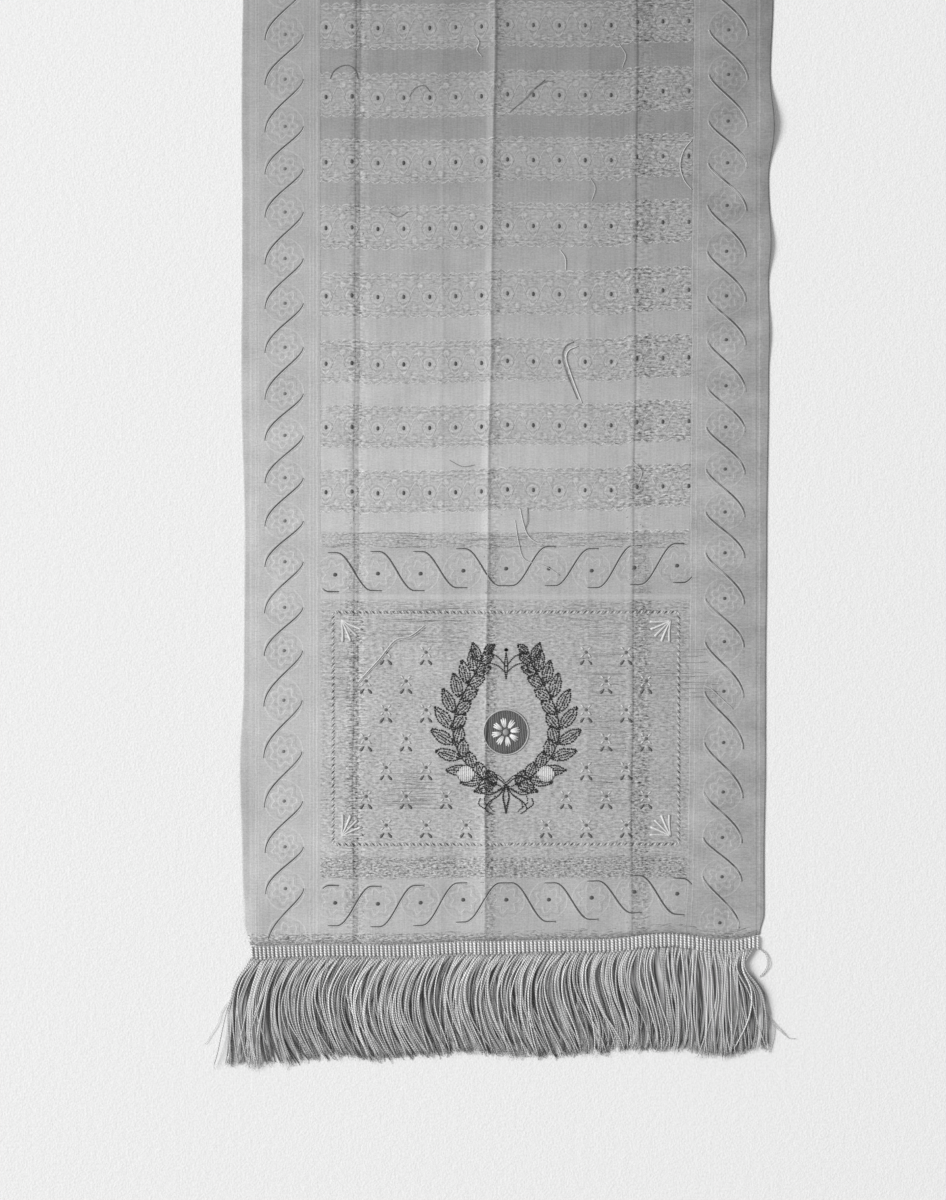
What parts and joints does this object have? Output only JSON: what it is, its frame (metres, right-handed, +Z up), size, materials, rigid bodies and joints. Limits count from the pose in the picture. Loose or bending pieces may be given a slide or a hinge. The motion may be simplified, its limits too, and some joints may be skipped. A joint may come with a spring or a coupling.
{
  "type": "fringed silk sash",
  "caption": "Long woven silk sash laid flat with its figured face up, creased lengthwise from wear, with a ribbed heading and thread fringe at each end.",
  "frame": {"origin": "on the surface that the sash lies on, under the middle of the whole sash with both fringes", "axes": "+Y along the sash, away from the end that the picture shows; +X across it, to the picture's right; +Z up, out of the figured face"},
  "size_m": [0.3498, 2.9998, 0.0041],
  "materials": {
    "silk": "lustrous figured silk weave with satin bands, worn along its folds",
    "thread": "twisted silk thread, fuzzy at the tips"
  },
  "bodies": {
    "root": {"sash_cloth": "silk", "fringe_near": "thread", "fringe_far": "thread"}
  },
  "joints": []
}
